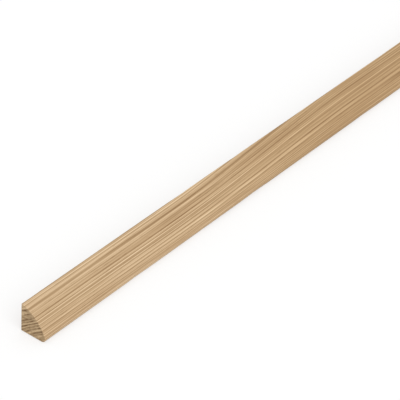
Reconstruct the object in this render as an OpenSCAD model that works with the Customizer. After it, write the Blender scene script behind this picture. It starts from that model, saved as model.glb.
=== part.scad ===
// Quarter round moulding: one stick of softwood, planed to a quarter round section.
// It lies on its bottom face, with the back face upright at -X and the length along Y.

/* [Stock] */
// Length of the stick as it is sold
stock_len = 2438.4; // [600:0.1:4900]
// Nominal height of the back, up to the top arris before it is eased
back_h = 19.05; // [15:0.05:22]
// Nominal width of the bottom, out to the toe before it is eased
bottom_w = 19.05; // [15:0.05:22]

/* [Section] */
// Radius that the cutter gives the curved face
face_r = 26.5; // [19.5:0.1:60]
// Round on the top arris, between the back and the curved face
top_ease_r = 0.5; // [0.2:0.1:3]
// Round on the toe, between the bottom and the curved face
toe_ease_r = 3.0; // [0.2:0.1:3.5]
// Round on the heel, between the back and the bottom
heel_ease_r = 0.5; // [0.2:0.1:3]

/* [Hidden] */
// Number of sides of the circles
$fn = 180;
// Straight line from the top arris to the toe, and the way from its middle towards the heel
chord = norm([bottom_w, back_h]);
heel_dir = -[back_h, bottom_w] / chord;
// Centre of the curved face, whose circle passes through the nominal top arris and toe
face_c = [bottom_w, back_h] / 2 + sqrt(pow(face_r, 2) - pow(chord / 2, 2)) * heel_dir;
// Distances from that centre to the centres of the rounds on the top arris and the toe
top_reach = face_r - top_ease_r;
toe_reach = face_r - toe_ease_r;
// Centres of the three rounds, each tangent to both faces that it joins
heel_c = [heel_ease_r, heel_ease_r];
top_c = [top_ease_r, face_c.y + sqrt(pow(top_reach, 2) - pow(top_ease_r - face_c.x, 2))];
toe_c = [face_c.x + sqrt(pow(toe_reach, 2) - pow(toe_ease_r - face_c.y, 2)), toe_ease_r];
// Directions in which the faces look where they meet the rounds
top_dir = (top_c - face_c) / top_reach;
toe_dir = (toe_c - face_c) / toe_reach;
back_dir = [-1, 0];
bottom_dir = [0, -1];
// Extra on the cut rounds, by which they cross the faces instead of only touching them
hair = 0.0005;
// Width over all, with the toe eased
overall_w = toe_c.x + toe_ease_r + hair;

// The section with sharp arrises: what the cutter's circle leaves between the back and the bottom
module sharp_section() {
    intersection() {
        translate(face_c) circle(r = face_r);
        square(2 * face_r);
    }
}

// What easing takes off one arris: the corner past a round that joins faces looking along dir_a and dir_b
module arris_waste(c, r, dir_a, dir_b) {
    difference() {
        polygon([c, c + r * dir_a, c + face_r * (dir_a + dir_b), c + r * dir_b]);
        translate(c) circle(r = r + hair);
    }
}

// The section as milled, drawn with the heel at the origin
module section() {
    difference() {
        sharp_section();
        arris_waste(heel_c, heel_ease_r, back_dir, bottom_dir);
        arris_waste(top_c, top_ease_r, back_dir, top_dir);
        arris_waste(toe_c, toe_ease_r, toe_dir, bottom_dir);
    }
}

// One milled stick, sawn square at both ends, centred on the middle of its length and width
module moulding() {
    color("burlywood")
    translate([-overall_w / 2, stock_len / 2, 0])
    rotate([90, 0, 0])
    linear_extrude(stock_len) section();
}

moulding();
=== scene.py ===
"""A stick of quarter round moulding in bare planed softwood, lying on its flat bottom.

The wood is solid: one field of growth rings runs through the whole stick, so the lines on the faces
meet the rings on the sawn ends. Sizes are in millimetres here, and become metres where a mesh is made.
"""
import math

import bpy
from mathutils import Matrix, Vector, noise


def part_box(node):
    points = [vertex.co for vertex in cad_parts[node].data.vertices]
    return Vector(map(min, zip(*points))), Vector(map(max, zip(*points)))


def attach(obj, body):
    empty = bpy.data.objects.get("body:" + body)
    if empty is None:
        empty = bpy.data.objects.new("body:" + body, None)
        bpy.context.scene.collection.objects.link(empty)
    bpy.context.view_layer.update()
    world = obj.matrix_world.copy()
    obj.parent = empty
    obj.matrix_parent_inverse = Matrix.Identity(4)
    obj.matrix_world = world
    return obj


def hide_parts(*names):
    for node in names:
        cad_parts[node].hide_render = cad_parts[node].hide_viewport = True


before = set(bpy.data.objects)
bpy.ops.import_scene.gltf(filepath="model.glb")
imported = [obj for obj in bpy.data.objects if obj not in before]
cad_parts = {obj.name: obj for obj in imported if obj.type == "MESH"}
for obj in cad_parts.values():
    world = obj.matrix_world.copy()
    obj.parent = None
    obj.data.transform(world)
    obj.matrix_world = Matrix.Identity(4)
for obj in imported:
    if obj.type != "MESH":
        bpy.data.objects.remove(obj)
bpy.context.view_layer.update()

MM = 0.001

# The CAD stick: its box gives the length, and the place of the heel, the arris of back and bottom
STICK_LOW, STICK_HIGH = (Vector(corner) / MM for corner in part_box("moulding"))
HEEL_X, NEAR_Y = STICK_LOW.x, STICK_LOW.y
LENGTH = STICK_HIGH.y - STICK_LOW.y

# The section, as it was milled
LEG = 19.05                 # nominal height of the back and width of the bottom
FACE_R = 26.5               # radius of the curved face
TOP_R, TOE_R, HEEL_R = 0.5, 3.0, 0.5    # rounds on the three arrises

# The mesh: how finely it follows the section and the length
FLAT_STEP = 1.0             # between points on the flat faces
FACE_STEPS, EASE_STEPS = 44, 7
STATION_STEP = 7.0          # between sections along the stick
END_EASE, END_EASE_STEPS = 0.35, 4      # round that sanding leaves on the sawn ends' arrises
END_RINGS = 30              # rings of faces from the edge of a sawn end to its middle
END_MIDDLE = (LEG * 0.42, LEG * 0.42)

# Wear on the arrises: full up to the first distance from one, and gone past the second
WEAR_FULL, WEAR_GONE = 0.3, 2.2
KNOCK_DEPTH, KNOCK_SPACING = 0.25, 16.0
KNOCK_FROM, KNOCK_RANGE = 0.32, 0.4     # noise at which a knock starts, and from there to its full depth
RUB_DEPTH, RUB_SPACING = 0.05, 60.0

# Marks of the circular saw on the ends
SAW_DEPTH, SAW_PITCH, SAW_RADIUS = 0.07, 1.3, 127.0
SAW_ARBOR = (-40.0, SAW_RADIUS - 15.0)
SAW_DRIFT = 2.2             # how far the marks wander out of their circles
SAW_EDGE = 0.03             # share of the way in from the edge over which the marks start

# Growth rings. The pith lies below and in front, this far from the heel, and the rings rise at this slope
PITH_DIST, RING_SLOPE = 300.0, math.radians(39)
# Each ring from the pith outward: its distance from the heel, the tone of its dark line and of the pale wood
# half way to the next one; 0.5 is the plain wood's tone. The rings towards the toe are set a little paler
# than
# the wood: painted light, offsetting the shade that falls on the lower part of the curved face
RINGS_WITH_PAINTED_LIFT = [
    (-10.4, 0.4, 0.6), (-9.4, 0.4, 0.6), (-8.3, 0.4, 0.6), (-7.0, 0.3, 0.7), (-5.1, 0.35, 0.65),
    (-3.6, 0.1, 1.0), (-1.6, 0.15, 0.7), (0.2, 0.3, 0.7), (1.9, 0.05, 0.8), (3.4, 0.4, 0.6),
    (5.0, 0.15, 0.6), (6.7, 0.35, 0.6), (8.0, 0.5, 0.75), (10.5, 0.15, 1.0), (12.5, 0.4, 1.0),
    (14.3, 0.35, 0.6),
]
RING_LOW, RING_HIGH = -11.2, 16.4
FINE_RING = 0.95            # spacing of the fine lines between the rings
RING_DRIFT = 0.9            # how far the rings drift sideways, slowly, along the stick
# Where the grain swerves, counted from the near end, and how far the rings move out there
SWERVE_FROM, SWERVE_TO = 118.0, 305.0
SWERVE, SWERVE_GROWTH = 4.35, 0.188
# Where the rings start to wander, further along, and how far
WANDER_FROM, WANDER_TO, WANDER = 380.0, 760.0, 16.0

# Noise patches in the wood, as patches for each millimetre across, along and up the stick
DRIFT_GRAIN, FIBRE_GRAIN = (1 / 22, 1 / 150, 1 / 22), (1.9, 1 / 55, 1.9)
FLECK_GRAIN, WARM_GRAIN, PORE_GRAIN = (2.4, 1 / 8, 2.4), (1 / 9, 1 / 95, 1 / 9), (3.2, 1.0, 3.2)
THIN_PER_RING, THIN_PER_MM = 1.9, 1 / 330       # the faint rings of the planed faces
END_THIN_PER_RING = 1.35                        # and of the sawn ends
PATCH_PER_RING, PATCH_PER_MM = 0.7, 0.28        # dark and pale stretches of the rings on the sawn ends
WANDER_PER_MM = 1 / 380

# What each layer adds to the tone, which runs from 0, dark, over 0.5, plain, to 1, pale
RING_SHARE, THIN_SHARE, LINE_SHARE, FIBRE_SHARE, FLECK_SHARE = 1.1, 2.1, 0.2, 1.5, -0.35
LINE_BEND = 4.0             # how far the faint rings push the fine lines about
END_RING_SHARE, END_THIN_SHARE, PATCH_SHARE, PORE_SHARE = 1.05, 1.6, 1.5, 0.7
CONTRAST_FROM, CONTRAST_TO = 130.0, 220.0       # where along the stick the contrast of the tone falls
CONTRAST_NEAR, CONTRAST_FAR = 0.56, 0.5
# The ring lines fade past the swerve, in the rings towards the toe
FADE_FROM, FADE_TO = 130.0, 250.0
FADE_RING_FROM, FADE_RING_TO, FADE = -4.4, -6.4, 0.75

# Colours, as 0 to 255 values: the dark, plain and pale wood of the planed faces and of the sawn ends
PLANED_COLOURS = [(138, 104, 64), (192, 162, 124), (237, 210, 173)]
SAWN_COLOURS = [(118, 90, 60), (177, 150, 115), (214, 186, 147)]
WARM_TINT, WARM_SHARE = (226, 214, 200), 0.3    # warmer patches
FAR_TINT, FAR_FROM, FAR_TO = (239, 233, 222), 65.0, 285.0   # darker and warmer away from the near end
PLANED_ROUGHNESS, SAWN_ROUGHNESS = (0.5, 0.64), 0.85
PLANED_GLOSS, SAWN_GLOSS = 0.28, 0.15
PLANED_RELIEF, SAWN_RELIEF, BUMP_STRENGTH = 0.00003, 0.0002, 0.6    # metres, and how strongly it shows
KNIFE_PITCH, KNIFE_SHARE, FIBRE_RELIEF = 1.6, 0.12, 0.8     # the planer's knife marks, and the fibres

# The camera: a long lens looking down the stick from in front and to the right
EYE_FROM_NEAR = (655.84, -749.06, 820.98)   # from the middle of the near end's lower edge
LOOK_AZIMUTH, LOOK_ELEVATION, ROLL = 36.219, -36.004, 3.766
LENS, SENSOR = 210.63, 36.0
CLIP_START, CLIP_END = 0.05, 200.0

# The studio
FLOOR_SIZE, FLOOR_DROP = 120.0, 0.0002      # metres; the drop keeps the floor just clear of the stick
FLOOR_TONE = 0.8            # what the floor reflects onto the stick
FLOOR_GLOW = 0.6            # share of the floor's white, seen by the camera, that no shadow reaches
ROOM_LIGHT, SUN_LIGHT = 0.76, 1.15
SUN_TILT, SUN_TURN, SUN_WIDTH = (math.radians(angle) for angle in (44, 64, 50))
WHITE = (1.0, 1.0, 1.0, 1.0)

# Bake map: the side in this many strips along the stick, above one another, and the ends in the room left
STRIPS, STRIP_HEIGHT, STRIP_FILL = 3, 0.3, 0.97
STRIP_MARGIN = 0.002
END_TILE_SIZE, END_TILE_STEP = (0.1, 0.095), 0.11
END_TILE_U, END_TILE_V = 0.004, STRIPS * STRIP_HEIGHT + 0.005


def srgb(red, green, blue):
    """A colour written as 0 to 255 values, as Blender's linear colour."""
    def linear(v):
        v /= 255.0
        return v / 12.92 if v <= 0.04045 else ((v + 0.055) / 1.055) ** 2.4
    return (linear(red), linear(green), linear(blue), 1.0)


def smooth_step(value, low, high):
    t = min(1.0, max(0.0, (value - low) / (high - low)))
    return t * t * (3 - 2 * t)


# The shape

def arc(centre, radius, start, end, steps):
    """Points of an arc, each with the direction that the surface looks in: (x, z, look_x, look_z)."""
    points = []
    for i in range(steps + 1):
        angle = start + (end - start) * i / steps
        look = (math.cos(angle), math.sin(angle))
        points.append((centre[0] + radius * look[0], centre[1] + radius * look[1], *look))
    return points


def straight(a, b, look):
    """Points strictly between the two ends of a flat face."""
    steps = max(2, round(math.dist(a[:2], b[:2]) / FLAT_STEP))
    return [(a[0] + (b[0] - a[0]) * i / steps, a[1] + (b[1] - a[1]) * i / steps, *look)
            for i in range(1, steps)]


def section():
    """The outline, from the heel up the back, over the curved face and along the bottom, and its arrises."""
    middle = LEG / 2 - math.sqrt((FACE_R ** 2 - LEG ** 2 / 2) / 2)
    top_c = (TOP_R, middle + math.sqrt((FACE_R - TOP_R) ** 2 - (TOP_R - middle) ** 2))
    toe_c = (middle + math.sqrt((FACE_R - TOE_R) ** 2 - (TOE_R - middle) ** 2), TOE_R)
    face_top = math.atan2(top_c[1] - middle, top_c[0] - middle)
    face_toe = math.atan2(toe_c[1] - middle, toe_c[0] - middle)
    heel = arc((HEEL_R, HEEL_R), HEEL_R, -math.pi / 2, -math.pi, EASE_STEPS)
    top = arc(top_c, TOP_R, math.pi, face_top, EASE_STEPS)
    face = arc((middle, middle), FACE_R, face_top, face_toe, FACE_STEPS)[1:-1]
    toe = arc(toe_c, TOE_R, face_toe, -math.pi / 2, 2 * EASE_STEPS)
    back = straight(heel[-1], top[0], (-1.0, 0.0))
    bottom = straight(toe[-1], heel[0], (0.0, -1.0))
    arrises = [group[len(group) // 2][:2] for group in (heel, top, toe)]
    return heel + back + top + face + toe + bottom, arrises


def wear(x, z, along, arrises):
    """How far handling has pressed in a point of the side."""
    depth = 0.0
    for index, arris in enumerate(arrises):
        near = 1.0 - smooth_step(math.dist((x, z), arris), WEAR_FULL, WEAR_GONE)
        if near == 0.0:
            continue
        knock = noise.noise(Vector((along / KNOCK_SPACING, index * 7.3, 0.4)))
        knock = max(0.0, knock - KNOCK_FROM) / KNOCK_RANGE
        rub = max(0.0, noise.noise(Vector((along / RUB_SPACING, index * 3.1, 5.2))) + 0.5)
        depth += near * (KNOCK_DEPTH * knock + RUB_DEPTH * rub)
    return depth


def saw_mark(x, z, seed):
    """Depth of the marks that a circular saw leaves on a sawn end."""
    drift = noise.noise(Vector((x / 5, z / 5, seed)))
    turn = 2 * math.pi * math.dist((x, z), SAW_ARBOR) / SAW_PITCH + SAW_DRIFT * drift
    tooth = 0.5 + 0.5 * math.sin(turn)
    fuzz = abs(noise.noise(Vector((x / 0.7, z / 0.7, seed + 3.0))))
    return SAW_DEPTH * (0.5 * tooth + 0.5 * fuzz)


def stick_rows(outline, arrises):
    """Closed rows of points, from the middle of the near end along the side to the middle of the far end."""
    def end_row(share, far):
        row = []
        for x, z, look_x, look_z in outline:
            px = END_MIDDLE[0] + (x - look_x * END_EASE - END_MIDDLE[0]) * share
            pz = END_MIDDLE[1] + (z - look_z * END_EASE - END_MIDDLE[1]) * share
            mark = saw_mark(px, pz, 11.0 * far) * smooth_step(1 - share, 0.0, SAW_EDGE)
            row.append((px, LENGTH - mark if far else mark, pz))
        return row

    def side_row(along, inset):
        row = []
        for x, z, look_x, look_z in outline:
            depth = inset + wear(x, z, along, arrises)
            row.append((x - look_x * depth, along, z - look_z * depth))
        return row

    def ease(far):
        rows = []
        for i in range(1, END_EASE_STEPS):
            turn = math.pi / 2 * i / END_EASE_STEPS
            back = END_EASE * (1 - math.cos(turn))
            rows.append(side_row(LENGTH - back if far else back, END_EASE * (1 - math.sin(turn))))
        return rows

    ends = [[end_row(i / END_RINGS, far) for i in range(1, END_RINGS + 1)] for far in (False, True)]
    run = LENGTH - 2 * END_EASE
    count = round(run / STATION_STEP)
    side = [side_row(END_EASE + run * i / count, 0.0) for i in range(count + 1)]
    return ends[0] + ease(False) + side + ease(True)[::-1] + ends[1][::-1]


def stick():
    """The moulding, with its bake map, its planed sides in one material slot and its sawn ends in another."""
    outline, arrises = section()
    rows = stick_rows(outline, arrises)
    n, last = len(outline), len(rows) - 1
    first_side, last_side = END_RINGS - 1, last - END_RINGS + 1
    points = [point for row in rows for point in row]
    near_middle, far_middle = len(points), len(points) + 1
    points += [(END_MIDDLE[0], y, END_MIDDLE[1]) for y in (0.0, LENGTH)]
    faces, on_end, corners = [], [], []

    # Length of the way round the section, for the bake map
    way = [0.0]
    for i in range(n):
        way.append(way[-1] + math.dist(outline[i][:2], outline[(i + 1) % n][:2]))

    def side_uv(row, i, strip):
        u = points[row * n][1] / LENGTH * STRIPS - strip
        v = (strip + way[i] / way[-1] * STRIP_FILL) * STRIP_HEIGHT
        return (STRIP_MARGIN + (1 - 2 * STRIP_MARGIN) * u, v)

    def end_uv(index, far):
        x, _, z = points[index]
        u = END_TILE_U + END_TILE_STEP * far + x / LEG * END_TILE_SIZE[0]
        return (u, END_TILE_V + z / LEG * END_TILE_SIZE[1])

    for row in range(last):
        is_end = row < first_side or row >= last_side
        half_way = 0.5 * (points[row * n][1] + points[(row + 1) * n][1])
        strip = min(STRIPS - 1, int(half_way / LENGTH * STRIPS))
        for i in range(n):
            j = (i + 1) % n
            quad = (row * n + i, row * n + j, (row + 1) * n + j, (row + 1) * n + i)
            faces.append(quad)
            on_end.append(is_end)
            if is_end:
                corners += [end_uv(index, row >= last_side) for index in quad]
            else:
                corners += [side_uv(row, i, strip), side_uv(row, i + 1, strip),
                            side_uv(row + 1, i + 1, strip), side_uv(row + 1, i, strip)]
    for i in range(n):
        j = (i + 1) % n
        for fan, far in (((near_middle, j, i), False), ((far_middle, last * n + i, last * n + j), True)):
            faces.append(fan)
            on_end.append(True)
            corners += [end_uv(index, far) for index in fan]

    mesh = bpy.data.meshes.new("quarter_round_stick")
    mesh.from_pydata([((HEEL_X + x) * MM, (NEAR_Y + y) * MM, z * MM) for x, y, z in points], [], faces)
    bake_map = mesh.uv_layers.new(name="OFBake")
    for loop, uv in zip(bake_map.data, corners):
        loop.uv = uv
    for polygon, end in zip(mesh.polygons, on_end):
        polygon.use_smooth = True
        polygon.material_index = 1 if end else 0
    mesh.materials.append(planed_wood())
    mesh.materials.append(sawn_wood())
    mesh.validate()
    piece = bpy.data.objects.new("quarter_round_stick", mesh)
    bpy.context.scene.collection.objects.link(piece)
    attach(piece, "root")
    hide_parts("moulding")


# The wood

class Nodes:
    """Short calls for building one material's nodes."""

    def __init__(self, name):
        self.material = bpy.data.materials.new(name)
        self.material.use_nodes = True
        self.tree = self.material.node_tree
        self.shader = self.tree.nodes["Principled BSDF"].inputs

    def add(self, kind, **settings):
        node = self.tree.nodes.new("ShaderNode" + kind)
        for key, value in settings.items():
            setattr(node, key, value)
        return node

    def plug(self, value, socket):
        if isinstance(value, bpy.types.NodeSocket):
            self.tree.links.new(value, socket)
        else:
            socket.default_value = value

    def plug_all(self, values, node):
        for value, socket in zip(values, node.inputs):
            self.plug(value, socket)
        return node.outputs[0]

    def math(self, operation, *values):
        return self.plug_all(values, self.add("Math", operation=operation))

    def scaled(self, vector, factors):
        return self.plug_all((vector, factors), self.add("VectorMath", operation="MULTIPLY"))

    def split(self, vector):
        node = self.add("SeparateXYZ")
        self.plug(vector, node.inputs[0])
        return node.outputs[0], node.outputs[1], node.outputs[2]

    def join(self, x, y, z):
        return self.plug_all((x, y, z), self.add("CombineXYZ"))

    def remap(self, value, low, high, to_low=0.0, to_high=1.0, kind="SMOOTHSTEP"):
        node = self.add("MapRange", interpolation_type=kind, clamp=True)
        return self.plug_all((value, low, high, to_low, to_high), node)

    def noise(self, vector, detail=2.0, roughness=0.5):
        node = self.add("TexNoise", noise_dimensions="3D")
        self.plug(vector, node.inputs["Vector"])
        node.inputs["Scale"].default_value = 1.0
        node.inputs["Detail"].default_value = detail
        node.inputs["Roughness"].default_value = roughness
        return node.outputs[0]

    def layer(self, tone, field, weight):
        """The tone with a noise field, whose middle is 0.5, laid over it."""
        return self.math("MULTIPLY_ADD", self.math("SUBTRACT", field, 0.5), weight, tone)

    def ramp(self, value, stops):
        node = self.add("ValToRGB")
        elements = node.color_ramp.elements
        while len(elements) > 1:
            elements.remove(elements[-1])
        elements[0].position, elements[0].color = stops[0]
        for position, colour in stops[1:]:
            elements.new(position).color = colour
        self.plug(value, node.inputs[0])
        return node.outputs[0]

    def wood_colour(self, tone, colours):
        """The dark, plain and pale colours, spread over the tones from 0 to 1."""
        return self.ramp(tone, [(place, srgb(*colour)) for place, colour in zip((0.0, 0.5, 1.0), colours)])

    def mix(self, share, a, b, blend="MIX"):
        node = self.add("Mix", data_type="RGBA", blend_type=blend)
        self.plug(share, node.inputs["Factor"])
        self.plug(a, node.inputs[6])
        self.plug(b, node.inputs[7])
        return node.outputs[2]

    def finish(self, colour, roughness, gloss, height=None, relief=0.0):
        """Plugs the wood's look into the shader; relief is the height of the bumps in metres."""
        self.plug(colour, self.shader["Base Color"])
        self.plug(roughness, self.shader["Roughness"])
        self.plug(gloss, self.shader["Specular IOR Level"])
        if height is not None:
            node = self.add("Bump")
            node.inputs["Strength"].default_value = BUMP_STRENGTH
            node.inputs["Distance"].default_value = relief
            self.plug(height, node.inputs["Height"])
            self.plug(node.outputs[0], self.shader["Normal"])
        return self.material


def ring_stops_with_painted_lift():
    """Grey stops of the ring ramp, with the painted light that lifts the rings towards the toe."""
    stops = []
    for index, (place, line, pale) in enumerate(RINGS_WITH_PAINTED_LIFT):
        following = RINGS_WITH_PAINTED_LIFT[index + 1][0] if index + 1 < len(RINGS_WITH_PAINTED_LIFT) else RING_HIGH
        stops += [(place, line), (0.5 * (place + following), pale)]
    return [((place - RING_LOW) / (RING_HIGH - RING_LOW), (tone, tone, tone, 1.0)) for place, tone in stops]


def ring_field(nodes):
    """The solid wood: place in the stick, ring coordinate, and the rings' tone, here 0 in plain wood."""
    mm = nodes.scaled(nodes.add("TexCoord").outputs["Object"], (1 / MM, 1 / MM, 1 / MM))
    local = nodes.plug_all((mm, (HEEL_X, NEAR_Y, 0.0)), nodes.add("VectorMath", operation="SUBTRACT"))
    y = nodes.split(local)[1]
    pith = (PITH_DIST * math.sin(RING_SLOPE), 0.0, -PITH_DIST * math.cos(RING_SLOPE))
    reach = nodes.add("VectorMath", operation="DISTANCE")
    nodes.plug_all((nodes.scaled(local, (1.0, 0.0, 1.0)), pith), reach)
    radius = nodes.math("SUBTRACT", reach.outputs["Value"], PITH_DIST)
    slow = nodes.noise(nodes.scaled(local, DRIFT_GRAIN), detail=1.0)
    radius = nodes.layer(radius, slow, RING_DRIFT)
    swerve = nodes.remap(y, SWERVE_FROM, SWERVE_TO)
    ring = nodes.math("DIVIDE", nodes.math("MULTIPLY_ADD", swerve, -SWERVE, radius),
                      nodes.math("MULTIPLY_ADD", swerve, SWERVE_GROWTH, 1.0))
    wander = nodes.noise(nodes.join(nodes.math("MULTIPLY", y, WANDER_PER_MM), 3.7, 0.0), detail=1.0)
    ring = nodes.layer(ring, wander, nodes.remap(y, WANDER_FROM, WANDER_TO, 0.0, WANDER))
    span = RING_HIGH - RING_LOW
    share = nodes.math("DIVIDE", nodes.math("PINGPONG", nodes.math("SUBTRACT", ring, RING_LOW), span), span)
    return local, ring, nodes.math("SUBTRACT", nodes.ramp(share, ring_stops_with_painted_lift()), 0.5)


def planed_wood():
    """Side grain: ring lines drawn out along the stick, fine fibres, slow changes of tone."""
    nodes = Nodes("planed_softwood")
    local, ring, tone = ring_field(nodes)
    y = nodes.split(local)[1]
    plain = nodes.math("MULTIPLY", nodes.remap(y, FADE_FROM, FADE_TO),
                       nodes.remap(ring, FADE_RING_FROM, FADE_RING_TO))
    tone = nodes.math("MULTIPLY", tone, nodes.math("MULTIPLY_ADD", plain, -FADE, 1.0))

    # Fainter rings and fine lines between the strong ones, fibres, and resin canals as short dark flecks
    thin = nodes.noise(nodes.join(nodes.math("MULTIPLY", ring, THIN_PER_RING),
                                  nodes.math("MULTIPLY", y, THIN_PER_MM), 0.0), detail=1.0, roughness=0.6)
    turn = nodes.math("MULTIPLY_ADD", ring, 2 * math.pi / FINE_RING, nodes.math("MULTIPLY", thin, LINE_BEND))
    fibre = nodes.noise(nodes.scaled(local, FIBRE_GRAIN), roughness=0.7)
    fleck = nodes.remap(nodes.noise(nodes.scaled(local, FLECK_GRAIN), detail=1.0), 0.62, 0.78)
    tone = nodes.layer(nodes.math("MULTIPLY", tone, RING_SHARE), thin, THIN_SHARE)
    tone = nodes.math("MULTIPLY_ADD", nodes.math("SINE", turn), LINE_SHARE, tone)
    tone = nodes.math("MULTIPLY_ADD", fleck, FLECK_SHARE, nodes.layer(tone, fibre, FIBRE_SHARE))
    contrast = nodes.remap(y, CONTRAST_FROM, CONTRAST_TO, CONTRAST_NEAR, CONTRAST_FAR)
    tone = nodes.math("MULTIPLY_ADD", tone, contrast, 0.5)

    colour = nodes.wood_colour(tone, PLANED_COLOURS)
    warm = nodes.remap(nodes.noise(nodes.scaled(local, WARM_GRAIN)), 0.3, 0.7)
    colour = nodes.mix(nodes.math("MULTIPLY", warm, WARM_SHARE), colour, srgb(*WARM_TINT), "MULTIPLY")
    colour = nodes.mix(nodes.remap(y, FAR_FROM, FAR_TO), colour, srgb(*FAR_TINT), "MULTIPLY")

    # Latewood stands a hair proud; the planer's knives leave faint waves across the stick
    knives = nodes.math("SINE", nodes.math("MULTIPLY", y, 2 * math.pi / KNIFE_PITCH))
    height = nodes.math("MULTIPLY_ADD", fibre, FIBRE_RELIEF, nodes.math("MULTIPLY", tone, -1.0))
    height = nodes.math("MULTIPLY_ADD", knives, KNIFE_SHARE, height)
    rough = nodes.remap(tone, 0.0, 1.0, *PLANED_ROUGHNESS, "LINEAR")
    return nodes.finish(colour, rough, PLANED_GLOSS, height, PLANED_RELIEF)


def sawn_wood():
    """End grain: the same rings cut across, darker, fading in and out along their length, with open pores."""
    nodes = Nodes("sawn_end_grain")
    local, ring, tone = ring_field(nodes)
    x, y, z = nodes.split(local)
    along_ring = nodes.math("MULTIPLY_ADD", x, math.cos(RING_SLOPE),
                            nodes.math("MULTIPLY", z, math.sin(RING_SLOPE)))
    thin = nodes.noise(nodes.join(nodes.math("MULTIPLY", ring, END_THIN_PER_RING), 0.0, 0.0), roughness=0.6)
    patch = nodes.noise(nodes.join(nodes.math("MULTIPLY", ring, PATCH_PER_RING),
                                   nodes.math("MULTIPLY", along_ring, PATCH_PER_MM), y))
    pores = nodes.noise(nodes.scaled(local, PORE_GRAIN), roughness=0.7)
    tone = nodes.layer(nodes.math("MULTIPLY", tone, END_RING_SHARE), thin, END_THIN_SHARE)
    tone = nodes.layer(nodes.layer(tone, patch, PATCH_SHARE), pores, PORE_SHARE)
    tone = nodes.math("ADD", tone, 0.5)
    colour = nodes.wood_colour(tone, SAWN_COLOURS)
    return nodes.finish(colour, SAWN_ROUGHNESS, SAWN_GLOSS, nodes.math("ADD", pores, tone), SAWN_RELIEF)


# The studio

def camera():
    eye = Vector(EYE_FROM_NEAR) + Vector((0.0, NEAR_Y, 0.0))
    data = bpy.data.cameras.new("camera")
    data.lens, data.sensor_width = LENS, SENSOR
    data.clip_start, data.clip_end = CLIP_START, CLIP_END
    eye_object = bpy.data.objects.new("camera", data)
    turn = (Matrix.Rotation(math.radians(LOOK_AZIMUTH), 4, "Z")
            @ Matrix.Rotation(math.radians(90 + LOOK_ELEVATION), 4, "X")
            @ Matrix.Rotation(math.radians(ROLL), 4, "Z"))
    eye_object.matrix_world = Matrix.Translation(eye * MM) @ turn
    bpy.context.scene.collection.objects.link(eye_object)
    bpy.context.scene.camera = eye_object


def floor():
    """A pale floor. To the camera its plain colour is white, and the stick's shadow stays on it."""
    half = FLOOR_SIZE / 2
    mesh = bpy.data.meshes.new("floor")
    corners = [(-half, -half, 0), (half, -half, 0), (half, half, 0), (-half, half, 0)]
    mesh.from_pydata(corners, [], [(0, 1, 2, 3)])
    nodes = Nodes("pale_floor")
    path = nodes.add("LightPath")
    seen = nodes.math("MAXIMUM", path.outputs["Is Camera Ray"], path.outputs["Is Glossy Ray"])
    lit = 1.0 - FLOOR_GLOW
    colour = nodes.mix(seen, (FLOOR_TONE, FLOOR_TONE, FLOOR_TONE, 1.0), (lit, lit, lit, 1.0))
    nodes.plug(WHITE, nodes.shader["Emission Color"])
    nodes.plug(nodes.math("MULTIPLY", seen, FLOOR_GLOW), nodes.shader["Emission Strength"])
    mesh.materials.append(nodes.finish(colour, 1.0, 0.0))
    plane = bpy.data.objects.new("floor", mesh)
    plane.location.z = -FLOOR_DROP
    bpy.context.scene.collection.objects.link(plane)


def lights():
    """An even white room, and one wide soft lamp above, behind the right shoulder."""
    world = bpy.data.worlds.new("room")
    bpy.context.scene.world = world
    world.use_nodes = True
    tree = world.node_tree
    background = tree.nodes["Background"]
    path = tree.nodes.new("ShaderNodeLightPath")
    share = tree.nodes.new("ShaderNodeMapRange")
    share.inputs["To Min"].default_value, share.inputs["To Max"].default_value = ROOM_LIGHT, 1.0
    tree.links.new(path.outputs["Is Camera Ray"], share.inputs["Value"])
    tree.links.new(share.outputs[0], background.inputs["Strength"])
    background.inputs["Color"].default_value = WHITE

    data = bpy.data.lights.new("soft_sun", "SUN")
    data.energy, data.angle = SUN_LIGHT, SUN_WIDTH
    lamp = bpy.data.objects.new("soft_sun", data)
    lamp.rotation_euler = (SUN_TILT, 0.0, SUN_TURN)
    bpy.context.scene.collection.objects.link(lamp)


bpy.context.scene.view_settings.view_transform = "Standard"
camera()
floor()
lights()
stick()
